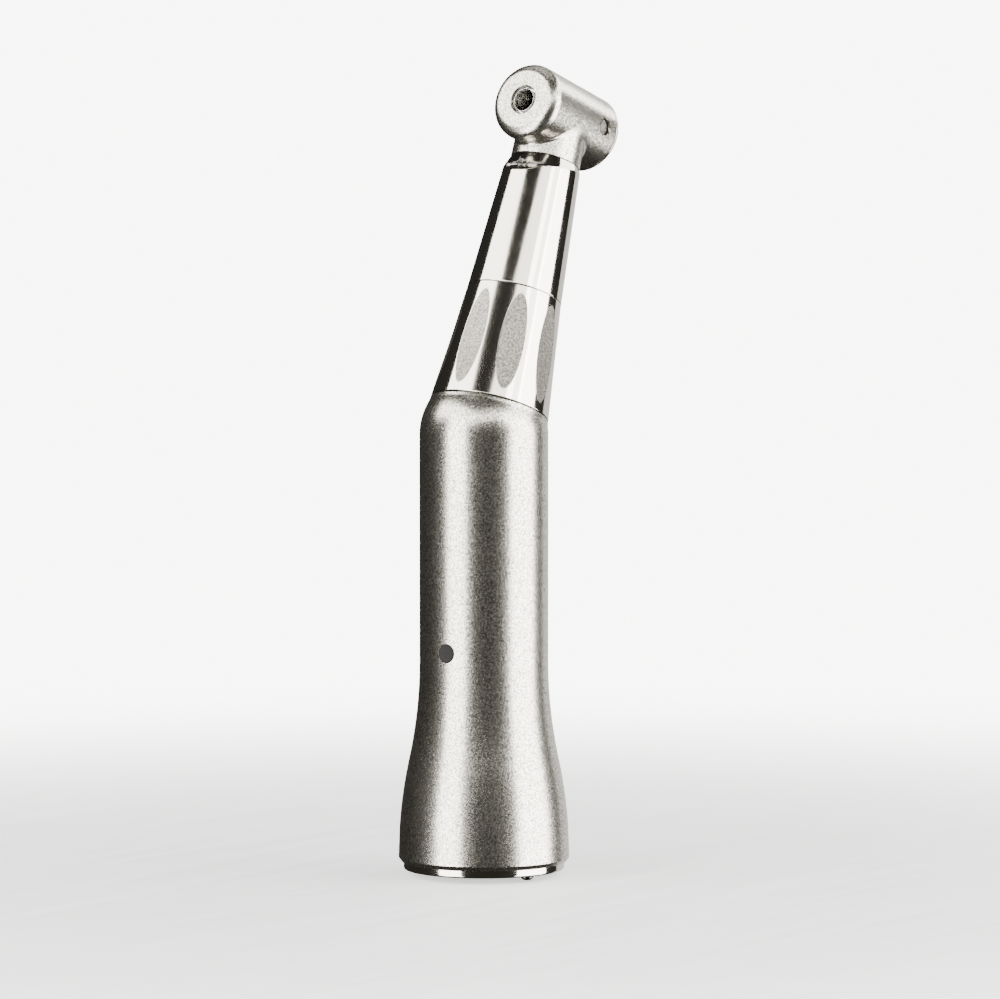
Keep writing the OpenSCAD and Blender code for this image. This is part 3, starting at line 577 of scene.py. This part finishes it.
        ring_top = reach("rear_ring", REAR)[1]
        lip = outline([(8.6, foot_z), (8.6, ring_top, 0.1), (7.0, ring_top, 0.1), (7.0, 0.0, 0.15),
                       (lip_r, 0.0, 0.25), (lip_r, foot_z - 0.01, 0.04)], 6)
        ring = write_mesh("rear_ring_lip", [turned(lip, REAR, 192)])
        pin_low, pin_high = reach("locating_pin", REAR)[:2]
        turn = math.radians(-107.5)
        hole = place((8.3 * MM * math.cos(turn), 8.3 * MM * math.sin(turn), 0), (0, 0, 1))
        pin_hole = [(0, -0.5), (1.0, -0.5), (1.0, -0.05), (0.8, 0.12), (0.78, 0.2), (0.78, 3.2), (0, 3.2)]
        cut(ring, [turned(pin_hole, hole, 40)])
        piece(ring, FINISH["polished_steel"], "rear_ring")
        tip = np.vstack([[0, pin_high],
                         outline([(0, pin_high), (0.74, pin_high, 0.08), (0.74, pin_low + 0.3)], 4)[1:],
                         bow(0.24, pin_low + 0.5, 0.5, 0, -90, 10)[1:], [[0, pin_low]]])
        pin = write_mesh("locating_pin_round", [turned(tip, hole, 40)])
        piece(pin, FINISH["dark_pin"], "locating_pin")
        return {"FINISHED"}


class HANDPIECE_OT_union_nut(Operator):
    """Build the polished union nut with its blasted oval grips."""
    bl_idname = "handpiece.union_nut"
    bl_label = "Union nut"

    def execute(self, context):
        s = settings()
        low, high, _, r1 = reach("union_nut", NECK)
        r2 = NUT_FRONT_R
        rim = s.rim_round / MM / 2

        def cone(z):
            """Radius of the nut's cone at a height."""
            return r1 + (r2 - r1) * (z - low) / (high - low)

        count, half_w, half_l = s.grip_count, s.grip_half_width / MM, s.grip_half_length / MM
        middle, mid_r = (low + high) / 2, (r1 + r2) / 2
        depth = half_w ** 2 / (2 * mid_r)

        # Columns crowd towards each grip, and rows towards the rounded edges
        step = 2 * math.pi / count
        wide = 1.25 * half_w / mid_r
        inner = np.linspace(-wide, wide, 33)
        gap = np.linspace(wide, step - wide, 13)[1:-1]
        angle = (math.pi + np.arange(count)[:, None] * step + np.concatenate([inner, gap])[None]).ravel()
        off = np.mod(angle - math.pi + step / 2, step) - step / 2
        edge = outline([(cone(low) - 2, low), (cone(low), low, rim), (cone(high), high, rim),
                        (cone(high) - 2, high)], 5)[1:-1]
        first, last = edge[:8], edge[-8:]
        body = np.linspace(first[-1, 1] + 0.1, last[0, 1] - 0.1, 110)
        outer = np.vstack([first, np.stack([cone(body), body], 1), last])
        z, r = outer[:, 1:], outer[:, :1]

        # Depth under the cone: a parabola along the nut, flat across it
        floor = (cone(z) - depth * (1 - ((z - middle) / half_l) ** 2)) / np.cos(off)[None]
        radius = np.minimum(r + 0 * off, floor)
        blasted = np.clip(0.5 + (r - floor) / 0.05, 0, 1)

        bore = np.array([[4.6, high], [4.6, 10.5], [5.7, 10.5], [5.7, low]])
        rings = np.vstack([radius, bore[:, :1] + 0 * angle])
        nut = write_mesh("union_nut_grips", [skin(around(NECK, rings, angle, np.vstack([z, bore[:, 1:]])))], 40)
        note(nut, "blasted", np.vstack([blasted, 0 * bore[:, :1] + 0 * angle]))
        piece(nut, FINISH["grip_steel"], "union_nut")
        return {"FINISHED"}


def collar_place(s):
    """The head collar's radius, and how far its circle stands off the neck's axis towards the cap."""
    collar = s.collar_radius / MM
    return collar, NECK_END_R - collar - 0.01


def neck_surface(angle, z, s):
    """Distance of the polished neck's skin from its axis: the cone, cut by a chamfer that leads to the
    head's collar. The collar's circle stands off the axis towards the cap, so its distance is
    c cos t + sqrt(R^2 - c^2 sin^2 t), and the chamfer is deepest on the bur side. A lens-shaped
    scoop slopes inwards from its lower edge and ends in a short step under an arch."""
    start, end = NUT_FRONT_S, NECK_TOP_S
    cone = NUT_FRONT_R + (NECK_END_R - NUT_FRONT_R) * (z - start) / (end - start)
    collar, shift = collar_place(s)
    circle = shift * np.cos(angle) + np.sqrt(collar ** 2 - (shift * np.sin(angle)) ** 2)
    chamfer = circle + 0.42 * (end - z)
    soft = 0.02
    skin_r = 0.5 * (cone + chamfer - np.sqrt((cone - chamfer) ** 2 + soft ** 2)) + soft * 0.3
    off = np.mod(angle, 2 * math.pi) - math.pi
    round_off = np.sqrt(np.clip(1 - (4.4 * off / 2.3) ** 2, 0, 1))
    lower, upper = end - 1.75 - 0.75 * round_off, end - 1.75 + 0.3 * round_off
    ramp = np.clip(z - lower, 0, None) * np.clip((upper + 0.1 - z) / 0.1, 0, 1)
    return skin_r - 0.55 * ramp * (np.abs(off) < 1) * (round_off > 0)


class HANDPIECE_OT_neck(Operator):
    """Build the polished neck with its chamfer, scoop and spray insert."""
    bl_idname = "handpiece.neck"
    bl_label = "Neck and spray insert"

    def execute(self, context):
        s = settings()
        top, half = NECK_TOP_S, math.radians(43)
        seam_z = top + SEAM - INSERT_H - SEAM / 2
        fine = np.radians(np.arange(180 - 52, 180 + 52.1, 0.8))
        sides = np.pi + np.array([-half - 1e-4, -half + 1e-4, half - 1e-4, half + 1e-4])
        rest = np.radians(np.arange(180 + 55, 180 + 306, 3.0))
        angle = np.sort(np.mod(np.concatenate([fine, sides, rest]), 2 * math.pi))
        in_sector = np.abs(angle - math.pi) < half

        start = NUT_FRONT_S + 0.002
        z = np.concatenate([start + np.array([0, 0.01, 0.02, 0.035, 0.05, 0.09]),
                            np.linspace(start + 0.4, top - 3.4, 28), np.arange(top - 3.3, seam_z - 0.02, 0.03),
                            [seam_z - 0.001, seam_z + 0.001],
                            np.arange(seam_z + 0.05, top - 0.05, 0.03), [top - 0.04, top]])
        radius = neck_surface(angle[None], z[:, None], s)
        radius -= 0.04 * np.clip(1 - (z - start) / 0.05, 0, 1)[:, None] ** 2
        radius[-1] -= 0.04
        radius = np.where((z[:, None] >= seam_z) & in_sector, 3.6, radius)
        low = reach("neck_sleeve", NECK)[0]
        seat, tube = SMALL_SEAT_R, 4.55
        bore = np.array([[3.475, top], [3.475, top - 0.22], [seat, top - 0.22], [seat, top - 2.6],
                         [2.2, top - 2.6], [2.2, 6.88], [seat, 6.88], [seat, low], [4.5, low], [tube, low + 0.05],
                         [tube, 6.98], [3.93, 6.98], [3.93, 7.62], [tube, 7.62], [tube, 8.5], [5.2, 8.5],
                         [5.2, 10.4], [tube, 10.4], [tube, start]])
        rings = np.vstack([radius, bore[:, :1] + 0 * angle])
        height = np.concatenate([z, bore[:, 1]])[:, None]
        neck = write_mesh("neck_sleeve_cone", [skin(around(NECK, rings, angle, height))], 30)
        piece(neck, FINISH["polished_steel"], "neck_sleeve")

        # The insert: loops of the same skin over an inner wall, carried round its sector
        turn = np.linspace(math.pi - half + 0.006, math.pi + half - 0.006, 141)
        z = np.concatenate([[seam_z + 0.05], np.arange(seam_z + 0.08, top - 0.04, 0.03), [top - 0.02]])
        outer = neck_surface(turn[:, None], z[None], s)
        outer[:, [0, -1]] -= 0.03
        loop_r = np.hstack([outer, np.full((len(turn), 2), 3.64)])
        loops = around(NECK, loop_r, turn[:, None], np.concatenate([z, [z[-1], z[0]]]))
        insert = write_mesh("spray_insert_face", [skin(loops, loops[[0, -1]].mean(1))], 30)
        drills = []
        for k in (-1, 0, 1):
            mouth, way = at(NECK, -3.95, k * 0.7, top - 1.65), -0.75 * NECK[1] + 0.66 * NECK[3]
            drills.append(turned([(0, -1.2), (0.12, -1.2), (0.12, 1.2), (0, 1.2)], place(mouth, way), 24))
        cut(insert, drills, 30)
        piece(insert, FINISH["spray_steel"], "spray_insert")
        return {"FINISHED"}


class HANDPIECE_OT_head(Operator):
    """Build the blasted head with its collar and blind side hole, the cap and the push button."""
    bl_idname = "handpiece.head"
    bl_label = "Head"

    def execute(self, context):
        s = settings()
        face = reach("head_housing", HEAD)[0]
        head_r = reach("head_cap", HEAD)[3]
        seam_u = HEAD_SEAM_U
        wall = [(SMALL_SEAT_R, face + 0.75), (1.7, face + 0.75), (1.7, face + 0.08), (1.78, face, 0.02),
                (head_r, face, 1.3), (head_r, seam_u, 0.09), (3.6, seam_u), (3.6, face + 3.13),
                (SMALL_SEAT_R, face + 3.13)]
        body = turned(outline(wall, 14), HEAD, 192)
        housing = write_mesh("head_housing_shell", [body])
        passage = turned([(0, 34.1), (3.4, 34.1), (3.4, 39.0), (0, 39.0)], NECK, 96)
        side = place(at(HEAD, 0.0, 0.0, HOLE_U), (0, -1, 0), tuple(HEAD[3]))
        blind = [(0, 3.68), (0.1, 3.7), (1.0, 4.1), (1.0, 4.44), (1.03, 4.5), (1.3, 4.75), (0, 4.75)]
        cut(housing, [passage, turned(blind, side, 64)])

        # The collar climbs to the head: at each angle a quadratic gives the height where it meets the
        # head's cylinder, and a quarter-round fillet spreads its foot
        angle = np.linspace(0, 2 * math.pi, 192, endpoint=False)
        collar, shift = collar_place(s)
        lean = math.asin(float(HEAD[3] @ NECK[3]))
        cl, sl = math.cos(lean), math.sin(lean)

        def meet(x, y, radius):
            """Neck distance at which the line over (x, y) enters the head's cylinder: the lower root."""
            a, b = 1 - sl * sl, -2 * cl * sl * x
            c = x * x * (1 - cl * cl) + y * y - radius * radius
            return HEAD_S + (-b - np.sqrt(np.maximum(b * b - 4 * a * c, 0))) / (2 * a)

        fillet = 0.38
        t = np.radians(np.linspace(0, 90, 10))
        spread = np.concatenate([[-0.05, -0.02, 0.0, 0.0], np.zeros(11), fillet * (1 - np.cos(t))])
        drop = fillet * (1 - np.sin(t))
        ring = collar + spread[:, None]
        x, y = shift + ring * np.cos(angle), ring * np.sin(angle)
        top = meet(x, y, head_r)
        bottom = NECK_TOP_S + SEAM
        share = np.linspace(0, 1, 12)[1:, None]
        stem_top = top[14:15] - fillet
        z = np.vstack([bottom + np.array([[0], [0.02], [0.05], [0.09]]) + 0 * angle,
                       (bottom + 0.09) + (stem_top - bottom - 0.09) * share, top[15:] - drop[:, None]])
        inner_x, inner_y = 3.42 * np.cos(angle), 3.42 * np.sin(angle)
        sunk_x, sunk_y = shift + 3.9 * np.cos(angle), 3.9 * np.sin(angle)
        x = np.vstack([x, sunk_x, inner_x, inner_x])
        y = np.vstack([y, sunk_y, inner_y, inner_y])
        z = np.vstack([z, meet(sunk_x, sunk_y, head_r - 0.4), meet(inner_x, inner_y, head_r - 0.5),
                       bottom + 0 * angle])
        stem = write_mesh("stem", [skin(at(NECK, x, y, z))])
        join(housing, stem)
        piece(housing, FINISH["head_steel"], "head_housing")

        low, top_u, _, _ = reach("head_cap", HEAD)
        cap_wall = [(SMALL_SEAT_R, low), (3.6, low, 0.05), (3.6, seam_u + SEAM), (head_r, seam_u + SEAM, 0.07),
                    (head_r, top_u, 0.33), (2.95, top_u, 0.06), (2.95, seam_u + SEAM / 2),
                    (SMALL_SEAT_R, seam_u + SEAM / 2)]
        cap = write_mesh("head_cap_ring", [turned(outline(cap_wall, 8), HEAD, 160)])
        piece(cap, FINISH["polished_steel"], "head_cap")

        low, crown, _, flange = reach("push_button", HEAD)
        rise = 0.45
        dome = (2.9 ** 2 + rise ** 2) / (2 * rise)
        edge = math.degrees(math.asin(2.84 / dome))
        shape = np.vstack([[0, crown], bow(0, crown - dome, dome, 90, 90 - edge, 20)[1:],
                           outline([(2.5, crown), (2.9, crown - rise - 0.03, 0.1), (2.9, low + 0.3),
                                    (flange, low + 0.3, 0.05), (flange, low, 0.05), (2.0, low),
                                    (2.0, low + 0.2), (0, low + 0.2)], 5)[1:-1],
                           [[0, low + 0.2]]])
        button = write_mesh("push_button_dome", [turned(shape, HEAD, 128)])
        piece(button, FINISH["button_steel"], "push_button")
        return {"FINISHED"}


def join(thing, other):
    """Adds another piece's mesh to a piece as a second shell, and removes the other."""
    bpy.ops.object.select_all(action="DESELECT")
    thing.select_set(True)
    other.select_set(True)
    bpy.context.view_layer.objects.active = thing
    if bpy.ops.object.join() != {"FINISHED"}:
        raise RuntimeError("the shells could not be joined")


class HANDPIECE_OT_drive(Operator):
    """Build the turned sleeves, spindle, bearings and seals, and finish the carried-over small parts."""
    bl_idname = "handpiece.drive"
    bl_label = "Drive train"

    def execute(self, context):
        # Motor coupling sleeve
        foot_top = 4.5
        top = reach("coupling_sleeve", REAR)[1]
        groove_z = top - 2
        body_r, socket_r, tip_r, groove_h = BARREL_BORE_R, 6.0, 4.2, 0.36
        wall = [(socket_r, 0.0, 0.25), (7.0, 0.0, 0.12), (7.0, foot_top, 0.1), (body_r, foot_top),
                (body_r, groove_z - groove_h), (5.76, groove_z - groove_h, 0.05),
                (5.76, groove_z + groove_h, 0.05), (body_r, groove_z + groove_h), (body_r, top, 0.15),
                (tip_r, top, 0.15), (tip_r, 16.0, 0.1), (socket_r, 16.0, 0.2), (socket_r, 3.58),
                (body_r, 3.58), (body_r, 3.0), (socket_r, 3.0)]
        sleeve = write_mesh("coupling_sleeve_turned", [turned(outline(wall, 5), REAR, 128)])
        piece(sleeve, FINISH["sleeve_steel"], "coupling_sleeve")

        # Bur spindle: nose, journal, shoulder and bore
        low, high = reach("spindle", HEAD)[:2]
        bore_r, journal_r = 1.185, 1.58
        wall = [(bore_r, low + 0.32), (1.34, low, 0.02), (1.4, low, 0.02), (1.4, low + 0.65),
                (journal_r, low + 0.65, 0.03), (journal_r, low + 3.03), (1.68, low + 3.03), (1.68, low + 3.43),
                (journal_r, low + 3.43), (journal_r, high, 0.05), (0.9, high, 0.05), (0.9, high - 0.7),
                (bore_r, high - 0.7)]
        spindle = write_mesh("spindle_journal", [turned(outline(wall, 5), HEAD, 96)])
        cut(spindle, [block(HEAD, (-2.6, 2.6), (-0.7, 0.7), (high - 0.7, high + 1))])
        piece(spindle, FINISH["spindle_steel"], "spindle")

        for name, where, tube, centre, section in (("sleeve_o_ring", REAR, 6.13, groove_z, 0.35),
                                                   ("neck_o_ring", NECK, 4.25, 7.3, 0.3)):
            loop = bow(tube, centre, section, 0, 360, 20)[:-1]
            seal = write_mesh(name + "_seal", [turned(loop, where, 96)], 60)
            piece(seal, FINISH["seal_rubber"], name)

        for name, where in (("rear_bearing_a", REAR), ("rear_bearing_b", REAR), ("front_bearing_a", NECK),
                            ("front_bearing_b", NECK), ("lower_bearing", HEAD), ("upper_bearing", HEAD)):
            self.bearing(name, where)

        for name, thing in frame["nodes"].items():
            for entry in thing.material_slots:
                entry.material = FINISH[SLOT[name]]
        return {"FINISHED"}

    def bearing(self, name, where):
        """Two rings with a raceway arc each, seven balls, and a cage band between them."""
        low, high, _, outer = reach(name + "_outer", where)
        bore = reach(name + "_inner", where)[2]
        ball, pitch, mid = (outer - bore) * 0.315, (outer + bore) / 2, (low + high) / 2
        groove = ball + 0.02
        shoulder = math.degrees(math.acos(0.55 * ball / groove))
        for part, way, edge, turn in (("_outer", 1, outer, 0), ("_inner", -1, bore, 180)):
            land = pitch + way * ball * 0.55
            race = bow(pitch, mid, groove, turn - way * shoulder, turn + way * shoulder, 12)
            wall = np.vstack([race, outline([(land, mid), (land, high, 0.05), (edge, high, 0.12),
                                             (edge, low, 0.12), (land, low, 0.05)], 4)[1:]])
            ring = write_mesh(name + part + "_race", [turned(wall, where, 96)])
            piece(ring, FINISH["race_steel"], name + part)
        arc = bow(0, 0, ball, -90, 90, 16)
        arc[[0, -1], 0] = 0
        shells = []
        for k in range(7):
            turn = k * 2 * math.pi / 7
            centre = at(where, pitch * math.cos(turn), pitch * math.sin(turn), mid)
            shells.append(turned(arc, place(centre, where[3]), 28))
        band = outline([(pitch + side * ball, mid - depth * ball, 0.04)
                        for side, depth in ((-0.3, 1.45), (0.3, 1.45), (0.3, 0.55), (-0.3, 0.55))], 3)
        other = np.stack([band[:, 0], 2 * mid - band[:, 1]], 1)
        shells += [turned(band, where, 96), turned(other, where, 96)]
        balls = write_mesh(name + "_ball_set", shells)
        piece(balls, FINISH["ball_cage"], name + "_balls")


def block(where, xs, ys, zs):
    """A box between limits along a frame's directions, as a shell of four corners by two rings."""
    x = np.array([xs[0], xs[1], xs[1], xs[0]], float)
    y = np.array([ys[0], ys[0], ys[1], ys[1]], float)
    grid = np.stack([at(where, x, y, np.full(4, z, float)) for z in zs])
    return skin(grid, grid.mean(1))


class HANDPIECE_OT_stage(Operator):
    """Set the floor, the pale backdrop, the softboxes and the camera."""
    bl_idname = "handpiece.stage"
    bl_label = "Stage"

    def execute(self, context):
        s = settings()
        camera_way = math.radians(-144.5)
        lowest = reach("locating_pin", REAR)[0] * MM
        t = np.linspace(0, 2 * math.pi, 96, endpoint=False)
        radii = np.array([0.02, 0.1, 0.3, 0.9])[:, None]
        grid = np.stack([radii * np.cos(t), radii * np.sin(t), 0 * radii + 0 * t], -1)
        floor = write_mesh("floor", [skin(np.concatenate([grid, grid[::-1] - [0, 0, 0.002]]),
                                          np.array([[0, 0, 0.0], [0, 0, -0.002]]))])
        floor.location.z = lowest - 0.0002
        floor.data.materials.append(stage_paint("pale_brushed_sheet", "DADBD9", 0.02, 0.24))
        floor.visible_shadow = floor.visible_glossy = False

        def panel(name, turn, rise, distance, width, height, glow):
            """A softbox at an angle from the camera's direction and above the horizon, facing the
            object; width and height are angles, and power is glow x pi x area."""
            size = [2 * distance * math.tan(math.radians(angle) / 2) for angle in (width, height)]
            lamp = bpy.data.lights.new(name, "AREA")
            lamp.shape, lamp.size, lamp.size_y = "RECTANGLE", size[0], size[1]
            lamp.energy = glow * math.pi * size[0] * size[1]
            thing = linked(name, lamp)
            bearing, up = camera_way + math.radians(turn), math.radians(rise)
            middle = Vector((0, 0, 0.05))
            thing.location = middle + distance * Vector((math.cos(bearing) * math.cos(up),
                                                         math.sin(bearing) * math.cos(up), math.sin(up)))
            way = middle - thing.location
            thing.rotation_euler = way.to_track_quat("-Z", "Y").to_euler()
            thing.visible_camera = False

        # Two softboxes with a dark gap between them draw the long bands along the handle. The upper ones
        # and the panel over the camera do the same for the surfaces that lean back, with a thinner gap
        panel("softbox_left", -50, -6, 0.6, 34, 60, s.left_light)
        panel("softbox_left_upper", -63, 36, 0.65, 76, 24, s.upper_light)
        panel("softbox_right", 74, -6, 0.6, 50, 60, s.right_light)
        panel("softbox_right_upper", 92, 36, 0.65, 94, 24, s.upper_light)
        panel("softbox_over_camera", 17, 36.5, 0.75, 58, 15, s.front_light)
        panel("back_fill_right", 150, 8, 0.9, 44, 80, s.back_light)
        panel("overhead", 200, 78, 0.8, 50, 50, s.top_light)

        world = bpy.data.worlds.new("pale_room")
        context.scene.world = world
        world.use_nodes = True
        tree = world.node_tree
        tree.nodes.clear()
        seen = add(tree, "ShaderNodeBackground", values={"Color": linear("F4F4F2"), "Strength": 9.0})
        lit = add(tree, "ShaderNodeBackground", values={"Color": linear("8C8A86"), "Strength": 0.14})
        ray = add(tree, "ShaderNodeLightPath")
        mix = add(tree, "ShaderNodeMixShader",
                  {"Fac": ray.outputs["Is Camera Ray"], 1: lit.outputs[0], 2: seen.outputs[0]})
        add(tree, "ShaderNodeOutputWorld", {"Surface": mix.outputs[0]})

        camera = bpy.data.cameras.new("camera")
        camera.lens, camera.sensor_width = 185.4, 36
        camera.clip_start = 0.01
        thing = linked("camera", camera)
        right = Vector((-math.sin(camera_way), math.cos(camera_way), 0))
        thing.location = (0.6 * math.cos(camera_way), 0.6 * math.sin(camera_way), 0.080)
        target = right * 0.00188 + Vector((0, 0, 0.0433))
        thing.rotation_euler = (target - thing.location).to_track_quat("-Z", "Y").to_euler()
        context.scene.camera = thing
        return {"FINISHED"}


class HANDPIECE_PT_panel(Panel):
    """Lists the settings and a button for each operator."""
    bl_label = "Handpiece"
    bl_idname = "HANDPIECE_PT_panel"
    bl_space_type = "VIEW_3D"
    bl_region_type = "UI"
    bl_category = "Handpiece"

    def draw(self, context):
        for name in HandpieceSettings.__annotations__:
            self.layout.prop(context.scene.handpiece, name)
        for operator in OPERATORS:
            self.layout.operator(operator.bl_idname)


OPERATORS = (HANDPIECE_OT_finishes, HANDPIECE_OT_stage, HANDPIECE_OT_handle, HANDPIECE_OT_union_nut,
             HANDPIECE_OT_neck, HANDPIECE_OT_head, HANDPIECE_OT_drive)
CLASSES = (HandpieceSettings, *OPERATORS, HANDPIECE_PT_panel)


def register():
    """Adds the classes and the settings to Blender."""
    for cls in CLASSES:
        bpy.utils.register_class(cls)
    bpy.types.Scene.handpiece = PointerProperty(type=HandpieceSettings)


def unregister():
    """Takes them away again."""
    del bpy.types.Scene.handpiece
    for cls in reversed(CLASSES):
        bpy.utils.unregister_class(cls)


def main():
    """Runs every operator in order."""
    register()
    bpy.ops.handpiece.finishes()
    bpy.ops.handpiece.stage()
    bpy.ops.handpiece.handle()
    bpy.ops.handpiece.union_nut()
    bpy.ops.handpiece.neck()
    bpy.ops.handpiece.head()
    bpy.ops.handpiece.drive()


if __name__ == "__main__":
    main()
